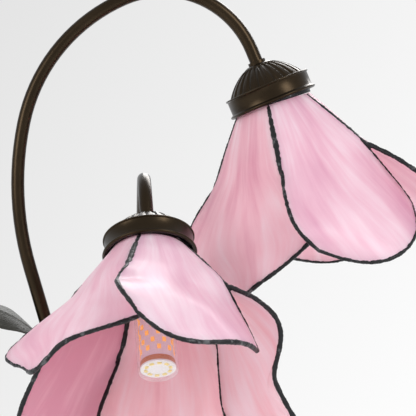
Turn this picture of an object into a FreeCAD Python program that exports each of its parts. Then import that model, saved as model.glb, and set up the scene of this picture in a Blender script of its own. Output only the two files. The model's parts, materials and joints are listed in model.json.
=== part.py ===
import FreeCAD, Part
import math
import os

# Two-light lily lamp with bent glass petals, in millimetres. +Z is up, the origin is the centre of
# the face that the lamp stands on, +X is the side of the upper shade, -Y the side of the lower one.

V = FreeCAD.Vector

# ---- driving dimensions: base ----
BASE_BAND_R = 95.0         # smooth band between the lips of the base cover
BASE_LIP_OUT = 3.0         # lower lip outside the band
BASE_UPPER_LIP_OUT = 2.0
BASE_WALL = 1.5
BASE_LIP = 2.0             # height of a lip
BASE_BAND = 12.0           # band between the lips
BASE_DOME = 26.0           # rise of the fluted dome above the upper lip
BASE_BULGE = 6.5           # dome outside the straight line from its foot to its top
BASE_TOP_R = 22.0          # flat seat of the hub on the dome
BASE_FLUTES = 36
BASE_FLUTE_R = 2.2         # radius of the tool that cuts a flute
BASE_FLUTE_DEPTH = 1.0
BASE_FLUTE_END = 0.93      # place where the flutes end, as a share of the way up the dome
FELT = 2.0                 # felt pad thickness
FELT_INSET = 1.0           # felt inside the band
BALLAST_INSET = 9.0        # ballast inside the band
BALLAST = 18.0             # cast ballast thickness
CHANNEL = 8.0              # width of the cord's channel in the ballast
CHANNEL_FLOOR = 4.0        # ballast left under the channel
CHANNEL_FROM = 20.0        # the channel's inner end from the centre
RECESS_R = 16.0            # recess in the ballast for the bolt head
RECESS = 9.0
BOLT_R = 3.0
BOLT_HEAD_AF = 10.0
BOLT_HEAD = 4.0
BOLT_GRIP = 12.0           # thread engaged in the hub
WASHER_R = 11.0
WASHER = 1.6
HUB_R = 20.0
HUB = 22.0                 # height of the hub
HUB_ROUND = 4.0
SOCKET = 14.0              # depth of the tube sockets in the hub
STEM_OFFSET = 11.0         # tube sockets from the hub's centre
GLAND_R = 4.2
GLAND_FLANGE_R = 5.5
GLAND_FLANGE = 2.0
GLAND_BORE_R = 3.0
GLAND_LENGTH = 7.0
TERMINAL_LENGTH = 26.0
TERMINAL_WIDTH = 7.0
TERMINAL = 9.0

# ---- driving dimensions: goosenecks ----
TUBE_R = 5.0
TUBE_WALL = 1.0
WIRE_R = 1.8
TALL_RUN_UP = 14.0         # straight rise out of the socket
TALL_LEAN = 16.5           # degrees that the straight run leans away
TALL_LEAN_R = 105.0
TALL_RUN = 248.0           # straight run
TALL_ARCS = ((228.0, 28.0), (131.0, 55.0), (73.0, 91.0))   # radius and turn, base side first
TALL_LAST = 9.0            # straight end in the shade holder
LOW_RUN_UP = 14.0
LOW_LEAN = 7.0
LOW_LEAN_R = 105.0
LOW_RUN = 197.5
LOW_ARCS = ((150.0, 34.0), (72.0, 63.0), (40.0, 58.0))
LOW_LAST = 9.0
LOW_AZIMUTH = 2.0          # degrees that the low gooseneck's plane turns towards +X
LOW_TWIST = 3.8            # degrees that its last arc leans sideways

# ---- driving dimensions: shade holder, along its axis from the mouth (0) back to the tube ----
BAND_R = 32.3
BAND_WALL = 1.0
BAND = 14.5                # height of the smooth band
LIP_R = 34.3               # lip at the mouth
UPPER_LIP_R = 33.3
LIP = 1.5
DOME_R = 29.5
DOME = 17.5                # rise of the fluted dome
DOME_BULGE = 2.2           # dome outside the straight line from its foot to its top
DOME_WALL = 1.2
DOME_TOP_R = 8.0
DOME_FLUTES = 24
DOME_FLUTE_R = 1.5
DOME_FLUTE_DEPTH = 0.8
DOME_FLUTE_END = 0.86      # place where the flutes end, as a share of the way up the dome
COLLAR_R = 6.8
COLLAR = 2.4
NIPPLE_BORE_R = 2.4
NIPPLE_IN_TUBE = 8.0
NIPPLE_IN_HOLDER = 8.0
NUT_AF = 13.0
NUT = 3.0
FIT = 0.05                 # clearance of parts that slide into each other
RUN = 0.3                  # clearance of parts that turn past each other

# ---- driving dimensions: lampholder and lamp ----
HOLDER_R = 13.0
HOLDER_WALL = 3.0
HOLDER_TOP = 4.0           # thickness of its closed end
HOLDER_WEB = 2.0           # thickness of the wall behind the centre contact
HOLDER_BORE_R = 7.4
HOLDER_FLANGE_R = 18.0
HOLDER_FLANGE = 2.0
HOLDER_FLANGE_AT = -5.5    # back face of the flange
SLEEVE_R = 13.6
SLEEVE = 10.5              # threaded sleeve in front of the flange
SHELL_R = 7.2
SHELL_WALL = 0.4
SHELL_LENGTH = 15.0
CONTACT_R = 3.0
CONTACT = 1.2
CONTACT_AT = -10.8         # back face of the centre contact
RING_NUT_R = 18.5
RING_NUT = 5.0
CAP_R = 6.5
CAP = 16.6
CAP_POINT = 3.0            # length of the cap's tapered end
LAMP_TIP = -9.3            # end of the lamp cap
NECK_R = 14.2
NECK = 15.0
NECK_FLARE = 0.6           # share of the neck that widens
CORE_R = 12.3
CORE_END = 91.6
LED_RING = 4.0             # bare ring above the end disc
DISC_R = 12.7
DISC = 1.2
COVER_R = 14.5
COVER_WALL = 1.0
COVER_SEAT = 3.0           # length of the neck that the cover goes over
COVER_ROUND = 3.0
COVER_END = 96.6
LED_COLUMNS = 18
LED_ROWS = 5
LED_PITCH = 12.0
LED_WIDTH = 2.6
LED_LENGTH = 3.4
LED_HEIGHT = 0.7
LED_FIRST = 33.0

# ---- driving dimensions: glass shade, along its axis from the holder's mouth ----
GLASS = 2.4                # glass thickness
LEAD = 3.4                 # lead edging thickness
LEAD_WIDTH = 1.8           # lead edging outside the glass edge
LEAD_GAP = 0.25            # film between glass and lead
SEAM_GAP = 0.3             # the same at the seam between two petals
RIM_GAP = 0.55             # the same at the rim, which is slanted
PETALS = 5
PLATE_HOLE_R = 14.0
PLATE_R = 29.3
PLATE = 1.2
RING_WALL = 1.2
RING_BACK = -6.5
RING_FRONT = -0.1
PETAL_FROM = 1.2           # where the glass starts
SEAM_END = 52.0            # neighbours are soldered together up to here
# edges as (distance along the axis, radius, degrees from the petal's middle)
SEAM = ((0.0, 26.8), (25.0, 46.0), (45.0, 60.0))
OUTER_EDGE = ((70.0, 88.0, -37.0), (95.0, 104.0, -34.0), (120.0, 98.0, -26.0), (140.0, 90.0, -20.0))
INNER_EDGE = ((70.0, 69.0, 42.0), (95.0, 77.0, 46.0), (120.0, 84.0, 42.0), (140.0, 89.0, 38.0))
MIDDLE = ((0.0, 26.8), (25.0, 42.0), (45.0, 53.0), (70.0, 67.0), (95.0, 83.0), (120.0, 98.0),
          (140.0, 106.0))
HALF_PETAL = 36.0          # degrees from the middle of a petal to its seam
REACH_OUTER = 108.0        # length along the outer edge
REACH_INNER = 104.0        # length along the inner edge
REACH_TIP = 29.0           # the tip is longer by this
TIP_SKEW = 0.68            # under 1 moves the tip towards the outer edge
ACROSS = 19                # points across a petal
ALONG = 29                 # points along it
CROWDING = 1.4             # over 1 crowds the points towards the outer corner, where the rim is steep
# hand-bent places of the petals: across, distance, half width across, half length along
CORNER = (0.0, 112.0, 0.16, 16.0)
VALLEY = (0.3, 118.0, 0.2, 18.0)
HOOK = (0.0, 72.0, 0.16, 12.0)
# for each petal: place, millimetres outwards, degrees round
UPPER_BENDS = (((HOOK, -5.0, 0.0),),
               ((VALLEY, -6.0, 0.0),),
               ((VALLEY, -4.0, 2.0),),
               ((HOOK, -2.0, 0.0),),
               ((VALLEY, -5.0, 6.0),))
LOWER_BENDS = (((CORNER, 11.0, -1.0), (VALLEY, -10.0, 0.0), (HOOK, -8.0, -2.0)),
               ((CORNER, -11.0, 8.0), (VALLEY, -17.0, -3.0)),
               ((VALLEY, -3.0, 0.0),),
               ((HOOK, -2.0, 0.0),),
               ((CORNER, -5.0, 5.0), (VALLEY, -8.0, 5.0)))
# for each petal: millimetres that its outer corner and its tip are longer
UPPER_RIMS = ((0.0, 0.0), (0.0, 0.0), (0.0, 0.0), (0.0, 0.0), (0.0, -5.0))
LOWER_RIMS = ((6.0, -2.0), (-8.0, 6.0), (0.0, 0.0), (0.0, 0.0), (-5.0, -8.0))
RIM_CORNER = 0.15          # half width of the outer corner, as a share of the petal's width
RIM_TIP = 0.25             # half width of the tip
UPPER_TURN = 25.0          # degrees from the holder's front to the first petal's middle
LOWER_TURN = 25.0
UPPER_SAG = (-5.0, -1.0)   # degrees that the shade hangs out of its holder's axis, two ways
LOWER_SAG = (-2.6, 3.5)

# ---- driving dimensions: leaves ----
LEAF_LENGTH = 118.0
LEAF_WIDTH = 38.0
LEAF_THICK = 1.6
LEAF_FOLD = 5.0            # depth of the fold along the middle
LEAF_RISE = 52.0           # degrees that the leaf rises where it leaves the stem
LEAF_DROOP = 84.0          # degrees that it bends down to its tip
LEAF_FOOT = 3.2            # half width at its foot
LEAF_TIP = 0.6             # half width at its tip
LEAF_TAPER = 0.85          # the last stretch, past this share of the length, runs to the tip
LEAF_SEAT = 1.5            # depth that the blade runs into its clip
CLIP_R = 6.8
CLIP = 12.0
TALL_LEAF_AT = 0.756       # place of the leaf clip, as a share of the straight run
LOW_LEAF_AT = 0.62

# ---- derived places ----
FELT_R = BASE_BAND_R - FELT_INSET
BALLAST_R = BASE_BAND_R - BALLAST_INSET
BASE_FROM = FELT
BASE_SHOULDER = BASE_FROM + 2 * BASE_LIP + BASE_BAND
BASE_TOP = BASE_SHOULDER + BASE_DOME
HUB_TOP = BASE_TOP + HUB
SOCKET_FLOOR = HUB_TOP - SOCKET
DOME_TOP = -(BAND + DOME)
TUBE_END = DOME_TOP - COLLAR
TUBE_BORE_R = TUBE_R - TUBE_WALL
NIPPLE_R = TUBE_BORE_R - FIT
HOLDER_BACK = DOME_TOP + DOME_WALL + NUT + RUN
NIPPLE_FRONT = HOLDER_BACK + NIPPLE_IN_HOLDER
NECK_FROM = LAMP_TIP + CAP
NECK_TO = NECK_FROM + NECK
COVER_FROM = NECK_TO - COVER_SEAT


# ---- helpers ----
def ring(outer, inner, start, length):
    """A tube along Z, or a disc where the inner radius is 0."""
    body = Part.makeCylinder(outer, length, V(0, 0, start))
    if inner > 0:
        body = body.cut(Part.makeCylinder(inner, length + 2, V(0, 0, start - 1)))
    return body


def turned(profile):
    """A solid of revolution about Z from a closed list of (radius, height) corners."""
    corners = [V(r, 0, z) for r, z in profile]
    face = Part.Face(Part.makePolygon(corners + corners[:1]))
    return face.revolve(V(0, 0, 0), V(0, 0, 1), 360)


def hexagon(across_flats, start, length):
    radius = across_flats / math.sqrt(3)
    corners = [V(radius * math.cos(math.radians(60 * i)), radius * math.sin(math.radians(60 * i)), start)
               for i in range(6)]
    return Part.Face(Part.makePolygon(corners + corners[:1])).extrude(V(0, 0, length))


def smooth(points, x):
    """The smooth curve through (x, value) points, straight past the last one."""
    xs = [p[0] for p in points]
    ys = [p[1] for p in points]
    steps = [b - a for a, b in zip(xs, xs[1:])]
    rises = [(d - c) / h for c, d, h in zip(ys, ys[1:], steps)]
    slopes = [rises[0]]
    for before, after, h0, h1 in zip(rises, rises[1:], steps, steps[1:]):
        slopes.append((before * h1 + after * h0) / (h0 + h1))
    slopes.append(rises[-1])
    if x >= xs[-1]:
        return ys[-1] + (x - xs[-1]) * slopes[-1]
    i = max(k for k in range(len(steps)) if k == 0 or xs[k] <= x)
    t = (x - xs[i]) / steps[i]
    return ((2 * t**3 - 3 * t**2 + 1) * ys[i] + (t**3 - 2 * t**2 + t) * steps[i] * slopes[i]
            + (3 * t**2 - 2 * t**3) * ys[i + 1] + (t**3 - t**2) * steps[i] * slopes[i + 1])


def sheet(front, back):
    """A closed sheet between two equal grids of points."""
    sides = []
    for grid in (front, back):
        surface = Part.BSplineSurface()
        surface.interpolate(grid)
        sides.append(surface)
    faces = [surface.toShape() for surface in sides]
    first, last = sides[0].bounds()[0::2], sides[0].bounds()[1::2]
    other = sides[1].bounds()
    for a, b in ((sides[0].uIso(first[0]), sides[1].uIso(other[0])),
                 (sides[0].uIso(last[0]), sides[1].uIso(other[1])),
                 (sides[0].vIso(first[1]), sides[1].vIso(other[2])),
                 (sides[0].vIso(last[1]), sides[1].vIso(other[3]))):
        faces.append(Part.makeRuledSurface(a.toShape(), b.toShape()))
    shell = Part.makeCompound(faces)
    shell.sewShape()
    solid = Part.Solid(shell.Shells[0])
    if solid.Volume < 0:
        solid.reverse()
    return solid


def thickened(grid, thickness):
    """A sheet of even thickness about a grid of (point, unit normal) pairs."""
    half = thickness / 2
    front = [[point + normal * half for point, normal in row] for row in grid]
    back = [[point - normal * half for point, normal in row] for row in grid]
    return sheet(front, back)


class Frame:
    """A place with three square directions; local z runs along the shade holder to its mouth."""

    def __init__(self, origin, x, y, z):
        self.origin, self.x, self.y, self.z = origin, x, y, z

    def at(self, shape):
        o, x, y, z = self.origin, self.x, self.y, self.z
        matrix = FreeCAD.Matrix(x.x, y.x, z.x, o.x, x.y, y.y, z.y, o.y, x.z, y.z, z.z, o.z, 0, 0, 0, 1)
        placed = shape.copy()
        placed.transformShape(matrix)
        return placed

    def sagged(self, sideways, forward):
        """The frame whose z leans by so many degrees towards x and y."""
        z = self.z + self.x * math.tan(math.radians(sideways)) + self.y * math.tan(math.radians(forward))
        z.normalize()
        y = self.y - z * self.y.dot(z)
        y.normalize()
        return Frame(self.origin, y.cross(z), y, z)


def save(name, *solids):
    shape = solids[0] if len(solids) == 1 else Part.makeCompound(list(solids))
    shape.exportStep("parts/" + name + ".step")
    print(name, len(shape.Solids), "valid" if shape.isValid() else "NOT VALID", round(shape.Volume))


# ---- goosenecks ----
def walk(start, heading, bend, steps):
    """The edges of a path of straight runs and tangent arcs, and the place and heading at its end.

    heading is its first direction and bend the direction that arcs turn to. A step is
    ("line", length), ("arc", radius, degrees, minus turns away from bend) or ("twist", degrees)."""
    edges = []
    for kind, size, *turn in steps:
        if kind == "twist":
            angle = math.radians(size)
            bend = bend * math.cos(angle) + heading.cross(bend) * math.sin(angle)
        elif kind == "line":
            edges.append(Part.makeLine(start, start + heading * size))
            start = start + heading * size
        else:
            side = 1 if turn[0] > 0 else -1
            angle = math.radians(abs(turn[0]))
            inward = bend * side
            centre = start + inward * size
            spots = [centre - inward * (size * math.cos(a)) + heading * (size * math.sin(a))
                     for a in (angle / 2, angle)]
            edges.append(Part.Arc(start, *spots).toShape())
            start = spots[1]
            heading, inward = (heading * math.cos(angle) + inward * math.sin(angle),
                               inward * math.cos(angle) - heading * math.sin(angle))
            bend = inward * side
    return edges, start, heading


def swept(edges, radius, start, heading):
    circle = Part.Wire(Part.makeCircle(radius, start, heading))
    return Part.Wire(edges).makePipeShell([circle], True, False)


def gooseneck(azimuth, run_up, lean_radius, lean, run, arcs, last, twist):
    """A tube and its lead wire; azimuth is the side that the shade hangs on."""
    side = V(math.cos(math.radians(azimuth)), math.sin(math.radians(azimuth)), 0)
    root = side * -STEM_OFFSET
    up = V(0, 0, 1)
    steps = [("line", run_up), ("arc", lean_radius, -lean), ("line", run)]
    steps += [("arc", radius, turn) for radius, turn in arcs[:-1]]
    steps += [("twist", twist), ("arc",) + arcs[-1]]
    foot = V(root.x, root.y, SOCKET_FLOOR)
    edges, end, heading = walk(foot, up, side, steps + [("line", last)])
    tube = swept(edges, TUBE_R, foot, up).cut(swept(edges, TUBE_BORE_R, foot, up))
    low = V(root.x, root.y, BALLAST + FELT + TERMINAL)
    rise = SOCKET_FLOOR - low.z
    wire_last = last + NIPPLE_FRONT - TUBE_END
    wire_edges = walk(low, up, side, [("line", rise + run_up)] + steps[1:] + [("line", wire_last)])[0]
    wire = swept(wire_edges, WIRE_R, low, up)
    return tube, wire, end, heading, side


def holder_frame(end, heading, side):
    """The frame of the shade holder at a tube's end; its y looks up and to the front."""
    front = V(0, -1, 0)
    y = front - heading * front.dot(heading)
    y.normalize()
    return Frame(end - heading * TUBE_END, y.cross(heading), y, heading)


# ---- base ----
class Dome:
    """A thin dome about Z: its outside is an arc from (foot_r, foot_z) up to (top_r, top_z)."""

    def __init__(self, foot_r, foot_z, top_r, top_z, bulge, wall):
        self.foot_r, self.foot_z, self.top_r, self.top_z, self.wall = foot_r, foot_z, top_r, top_z, wall
        chord = V(top_r - foot_r, 0, top_z - foot_z)
        self.radius = (chord.Length ** 2 / 4 + bulge ** 2) / (2 * bulge)
        outward = V(chord.z, 0, -chord.x).normalize()
        self.centre = V((foot_r + top_r) / 2, 0, (foot_z + top_z) / 2) + outward * (bulge - self.radius)

    def spot(self, z, inset):
        """The point of the arc at height z, with the arc moved inwards by inset."""
        radius = self.radius - inset
        return V(self.centre.x + math.sqrt(radius ** 2 - (z - self.centre.z) ** 2), 0, z)

    def solid(self):
        middle = (self.foot_z + self.top_z) / 2
        under = self.top_z - self.wall
        outer = [self.spot(z, 0) for z in (self.foot_z, middle, self.top_z)]
        inner = [self.spot(z, self.wall) for z in (under, middle, self.foot_z)]
        edges = [Part.Arc(*outer).toShape(), Part.makeLine(outer[2], V(0, 0, self.top_z)),
                 Part.makeLine(V(0, 0, self.top_z), V(0, 0, under)), Part.makeLine(V(0, 0, under), inner[0]),
                 Part.Arc(*inner).toShape(), Part.makeLine(inner[2], outer[0])]
        return Part.Face(Part.Wire(edges)).revolve(V(0, 0, 0), V(0, 0, 1), 360)

    def flutes(self, count, radius, depth, end):
        """The cutters of the flutes: for each flute a round rod bent along the dome, up to a share end."""
        start_z = self.foot_z - 2 * radius
        end_z = self.foot_z + (self.top_z - self.foot_z) * end
        start, stop = [self.spot(z, depth - radius) - self.centre for z in (start_z, end_z)]
        turn = math.degrees(math.atan2(stop.z, stop.x) - math.atan2(start.z, start.x))
        ahead = V(-start.z, 0, start.x)
        disc = Part.Face(Part.Wire(Part.makeCircle(radius, self.centre + start, ahead)))
        rod = disc.revolve(self.centre, V(0, -1, 0), turn)
        tools = []
        for i in range(count):
            tool = rod.copy()
            tool.rotate(V(0, 0, 0), V(0, 0, 1), 360.0 * i / count)
            tools.append(tool)
        return tools


def base_parts(sides):
    save("base_felt_pad", ring(FELT_R, 0, 0, FELT))
    ballast = ring(BALLAST_R, BOLT_R + RUN, FELT, BALLAST)
    ballast = ballast.cut(Part.makeCylinder(RECESS_R, RECESS, V(0, 0, FELT)))
    ballast = ballast.cut(Part.makeBox(CHANNEL, BALLAST_R, BALLAST,
                                       V(-CHANNEL / 2, CHANNEL_FROM, FELT + CHANNEL_FLOOR)))
    save("base_ballast", ballast)
    lip_r = BASE_BAND_R + BASE_LIP_OUT
    upper_lip_r = BASE_BAND_R + BASE_UPPER_LIP_OUT
    band_from = BASE_FROM + BASE_LIP
    band_to = band_from + BASE_BAND
    shoulder = turned([(lip_r, BASE_FROM), (lip_r, band_from), (BASE_BAND_R, band_from),
                       (BASE_BAND_R, band_to), (upper_lip_r, band_to), (upper_lip_r, BASE_SHOULDER),
                       (BASE_BAND_R - BASE_WALL, BASE_SHOULDER), (BASE_BAND_R - BASE_WALL, BASE_FROM)])
    dome = Dome(BASE_BAND_R, BASE_SHOULDER, BASE_TOP_R, BASE_TOP, BASE_BULGE, BASE_WALL)
    flutes = dome.flutes(BASE_FLUTES, BASE_FLUTE_R, BASE_FLUTE_DEPTH, BASE_FLUTE_END)
    cover = dome.solid().cut(flutes).fuse(shoulder).removeSplitter()
    holes = [Part.makeCylinder(BOLT_R + RUN, 2 * BASE_WALL + 2, V(0, 0, BASE_TOP - BASE_WALL - 1))]
    holes += [Part.makeCylinder(WIRE_R + 1, 2 * BASE_WALL + 2,
                                V(side.x * -STEM_OFFSET, side.y * -STEM_OFFSET, BASE_TOP - BASE_WALL - 1))
              for side in sides]
    gland_z = (band_from + band_to) / 2
    holes.append(Part.makeCylinder(GLAND_R, 2 * GLAND_LENGTH, V(0, BASE_BAND_R - GLAND_LENGTH, gland_z),
                                   V(0, 1, 0)))
    save("base_cover", cover.cut(holes))
    gland = Part.makeCylinder(GLAND_R - FIT, GLAND_LENGTH, V(0, BASE_BAND_R - GLAND_LENGTH + RUN, gland_z),
                              V(0, 1, 0))
    flange = Part.makeCylinder(GLAND_FLANGE_R, GLAND_FLANGE, V(0, BASE_BAND_R + RUN, gland_z), V(0, 1, 0))
    bore = Part.makeCylinder(GLAND_BORE_R, 3 * GLAND_LENGTH, V(0, BASE_BAND_R - 2 * GLAND_LENGTH, gland_z),
                             V(0, 1, 0))
    save("cable_gland", gland.fuse(flange).cut(bore))
    hub = Part.makeCylinder(HUB_R, HUB, V(0, 0, BASE_TOP))
    rims = [edge for edge in hub.Edges if abs(edge.BoundBox.ZMin - HUB_TOP) < 0.01 and edge.Closed
            and edge.BoundBox.ZMax - edge.BoundBox.ZMin < 0.01]
    hub = hub.makeFillet(HUB_ROUND, rims)
    for side in sides:
        spot = V(side.x * -STEM_OFFSET, side.y * -STEM_OFFSET, SOCKET_FLOOR)
        hub = hub.cut(Part.makeCylinder(TUBE_R + FIT, SOCKET + 1, spot))
        hub = hub.cut(Part.makeCylinder(WIRE_R + 1, HUB, V(spot.x, spot.y, BASE_TOP - 1)))
    hub = hub.cut(Part.makeCylinder(BOLT_R + FIT, BOLT_GRIP + 1, V(0, 0, BASE_TOP - 1)))
    save("stem_hub", hub)
    washer_at = FELT + RECESS - WASHER
    save("tie_washer", ring(WASHER_R, BOLT_R + RUN, washer_at, WASHER))
    head_at = washer_at - BOLT_HEAD
    bolt = hexagon(BOLT_HEAD_AF, head_at, BOLT_HEAD)
    bolt = bolt.fuse(Part.makeCylinder(BOLT_R, BASE_TOP + BOLT_GRIP - washer_at, V(0, 0, washer_at)))
    save("tie_bolt", bolt)
    block = Part.makeBox(TERMINAL_LENGTH, TERMINAL_WIDTH, TERMINAL)
    block.translate(V(-TERMINAL_LENGTH / 2, -TERMINAL_WIDTH / 2, FELT + BALLAST))
    middle = (sides[0] + sides[1]) * (-STEM_OFFSET / 2)
    across = sides[0] - sides[1]
    block.rotate(V(0, 0, 0), V(0, 0, 1), math.degrees(math.atan2(across.y, across.x)))
    block.translate(V(middle.x, middle.y, 0))
    save("terminal_block", block)


# ---- shade holder, lampholder and lamp, each in the holder's own frame ----
def holder_parts(name, place):
    nipple = ring(NIPPLE_R, NIPPLE_BORE_R, TUBE_END - NIPPLE_IN_TUBE, NIPPLE_FRONT - TUBE_END + NIPPLE_IN_TUBE)
    save(name + "_nipple", place.at(nipple))
    save(name + "_arm_collar", place.at(ring(COLLAR_R, NIPPLE_R + FIT, TUBE_END, COLLAR)))
    # the dome is drawn upwards and then turned over, so that its top points back to the tube
    form = Dome(DOME_R, BAND, DOME_TOP_R, BAND + DOME, DOME_BULGE, DOME_WALL)
    dome = form.solid().cut(form.flutes(DOME_FLUTES, DOME_FLUTE_R, DOME_FLUTE_DEPTH, DOME_FLUTE_END))
    dome = dome.cut(Part.makeCylinder(NIPPLE_R + FIT, 3 * DOME_WALL, V(0, 0, BAND + DOME - 2 * DOME_WALL)))
    dome.rotate(V(0, 0, 0), V(1, 0, 0), 180)
    save(name + "_holder_dome", place.at(dome))
    shelf_r = DOME_R - 2 * DOME_WALL
    band = turned([(shelf_r, -BAND), (UPPER_LIP_R, -BAND), (UPPER_LIP_R, -BAND + LIP), (BAND_R, -BAND + LIP),
                   (BAND_R, -2 * LIP), (LIP_R, -LIP / 2), (LIP_R, 0), (BAND_R - BAND_WALL, 0),
                   (BAND_R - BAND_WALL, -BAND + LIP), (shelf_r, -BAND + LIP)])
    save(name + "_holder_band", place.at(band))
    nut = hexagon(NUT_AF, DOME_TOP + DOME_WALL, NUT).cut(
        Part.makeCylinder(NIPPLE_R + FIT, 3 * NUT, V(0, 0, DOME_TOP)))
    save(name + "_nipple_nut", place.at(nut))
    flange_to = HOLDER_FLANGE_AT + HOLDER_FLANGE
    body = turned([(NIPPLE_R + FIT, HOLDER_BACK), (HOLDER_R, HOLDER_BACK), (HOLDER_R, HOLDER_FLANGE_AT),
                   (HOLDER_FLANGE_R, HOLDER_FLANGE_AT), (HOLDER_FLANGE_R, flange_to), (SLEEVE_R, flange_to),
                   (SLEEVE_R, flange_to + SLEEVE), (HOLDER_BORE_R, flange_to + SLEEVE),
                   (HOLDER_BORE_R, CONTACT_AT), (0, CONTACT_AT), (0, CONTACT_AT - HOLDER_WEB),
                   (HOLDER_R - HOLDER_WALL, CONTACT_AT - HOLDER_WEB),
                   (HOLDER_R - HOLDER_WALL, HOLDER_BACK + HOLDER_TOP),
                   (NIPPLE_R + FIT, HOLDER_BACK + HOLDER_TOP)])
    save(name + "_lampholder", place.at(body))
    shell = ring(SHELL_R, SHELL_R - SHELL_WALL, flange_to + SLEEVE - SHELL_LENGTH, SHELL_LENGTH)
    save(name + "_screw_shell", place.at(shell))
    save(name + "_centre_contact", place.at(ring(CONTACT_R, 0, CONTACT_AT, CONTACT)))
    ring_nut_at = flange_to + PLATE + 2 * RUN
    save(name + "_ring_nut", place.at(ring(RING_NUT_R, SLEEVE_R + FIT, ring_nut_at, RING_NUT)))


def lamp_parts(name, place):
    cap = turned([(0, LAMP_TIP), (CAP_R / 2, LAMP_TIP), (CAP_R, LAMP_TIP + CAP_POINT), (CAP_R, NECK_FROM),
                  (0, NECK_FROM)])
    save(name + "_lamp_cap", place.at(cap))
    plug_r = COVER_R - COVER_WALL - FIT
    neck = turned([(0, NECK_FROM), (CAP_R, NECK_FROM), (NECK_R, NECK_FROM + NECK * NECK_FLARE),
                   (NECK_R, COVER_FROM), (plug_r, COVER_FROM), (plug_r, NECK_TO), (0, NECK_TO)])
    save(name + "_lamp_neck", place.at(neck))
    core_r = CORE_R - LED_HEIGHT
    save(name + "_lamp_core", place.at(ring(core_r, 0, NECK_TO, CORE_END - NECK_TO)))
    leds = []
    for column in range(LED_COLUMNS):
        for row in range(LED_ROWS):
            height = LED_FIRST + LED_PITCH * row + (LED_PITCH / 2 if column % 2 else 0)
            if height > CORE_END - LED_RING - LED_LENGTH / 2:
                continue
            led = Part.makeBox(LED_HEIGHT, LED_WIDTH, LED_LENGTH,
                               V(core_r, -LED_WIDTH / 2, height - LED_LENGTH / 2))
            led.rotate(V(0, 0, 0), V(0, 0, 1), 360.0 * column / LED_COLUMNS)
            leds.append(place.at(led))
    save(name + "_lamp_leds", *leds)
    save(name + "_lamp_end_disc", place.at(ring(DISC_R, 0, CORE_END, DISC)))
    cover = Part.makeCylinder(COVER_R, COVER_END - COVER_FROM, V(0, 0, COVER_FROM))
    ends = [edge for edge in cover.Edges if edge.BoundBox.ZMin > COVER_END - 0.01]
    cover = cover.makeFillet(COVER_ROUND, ends)
    cover = cover.cut(Part.makeCylinder(COVER_R - COVER_WALL, COVER_END - COVER_WALL - COVER_FROM,
                                        V(0, 0, COVER_FROM)))
    save(name + "_lamp_cover", place.at(cover))


# ---- glass shade ----
def hump(across, distance, place):
    """A smooth hump of height 1 about a hand-bent place of a petal."""
    place_across, place_distance, width, length = place
    return math.exp(-((across - place_across) / width) ** 2 - ((distance - place_distance) / length) ** 2)


class Petal:
    """The middle of one petal's glass: across runs from 0 at its outer edge to 1 at its inner edge, and
    distance runs along the axis from the holder's mouth."""

    def __init__(self, frame, turn, bends, rims):
        self.frame, self.turn, self.bends, self.rims = frame, turn, bends, rims

    def point(self, across, distance):
        outer = smooth(list(SEAM) + [p[:2] for p in OUTER_EDGE], distance)
        inner = smooth(list(SEAM) + [p[:2] for p in INNER_EDGE], distance)
        middle = smooth(MIDDLE, distance)
        radius = (outer * (1 - across) * (1 - 2 * across) + middle * 4 * across * (1 - across)
                  + inner * across * (2 * across - 1))
        outer_turn = smooth([(z, -HALF_PETAL) for z, _ in SEAM] + [(z, a) for z, _, a in OUTER_EDGE], distance)
        inner_turn = smooth([(z, HALF_PETAL) for z, _ in SEAM] + [(z, a) for z, _, a in INNER_EDGE], distance)
        turn = self.turn + outer_turn * (1 - across) + inner_turn * across
        for place, outwards, round_by in self.bends:
            radius += outwards * hump(across, distance, place)
            turn += round_by * hump(across, distance, place)
        frame = self.frame
        angle = math.radians(turn)
        return (frame.origin + frame.z * distance + frame.y * (radius * math.cos(angle))
                + frame.x * (radius * math.sin(angle)))

    def spot(self, across, distance):
        """A point and the glass's normal there."""
        step = 0.002
        along = self.point(across, distance + 1) - self.point(across, distance - 1)
        beside = self.point(across + step, distance) - self.point(across - step, distance)
        return self.point(across, distance), along.cross(beside).normalize()

    def reach(self, across):
        """Length of the petal with its edging, along the axis on the line across."""
        corner, tip = self.rims
        return (REACH_OUTER * (1 - across) + REACH_INNER * across
                + REACH_TIP * math.sin(math.pi * across ** TIP_SKEW)
                + corner * math.exp(-(across / RIM_CORNER) ** 2)
                + tip * math.exp(-((across - 0.5) / RIM_TIP) ** 2))

    def patch(self, side_from, side_to, start, short, rows, columns):
        """A grid of spots from the distance start to the reach less short."""
        grid = []
        for i in range(rows):
            along = i / (rows - 1)
            line = []
            for j in range(columns):
                across = side_from + (side_to - side_from) * (j / (columns - 1)) ** CROWDING
                end = self.reach(across) - short
                line.append(self.spot(across, start * (1 - along) + end * along))
            grid.append(line)
        return grid

    def rim(self, side_from, side_to, back, rows, columns):
        """A grid of spots along the rim, from back before the reach up to the reach."""
        lines = [side_from + (side_to - side_from) * (j / (columns - 1)) ** CROWDING for j in range(columns)]
        return [[self.spot(across, self.reach(across) - back * (1 - i / (rows - 1))) for across in lines]
                for i in range(rows)]


def seam_strip(petal, before, edge):
    """The grid of the solder between a petal's outer edge and the inner edge of the petal before it."""
    grid = []
    for i in range(ALONG):
        distance = PETAL_FROM + (SEAM_END - PETAL_FROM) * i / (ALONG - 1)
        width = 2 * math.radians(HALF_PETAL) * smooth(SEAM, distance)
        side = edge - SEAM_GAP / width
        near, near_normal = petal.spot(side, distance)
        far, far_normal = before.spot(1 - side, distance)
        middle = (near + far) * 0.5, (near_normal + far_normal).normalize()
        grid.append([(near, near_normal), middle, (far, far_normal)])
    return grid


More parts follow.
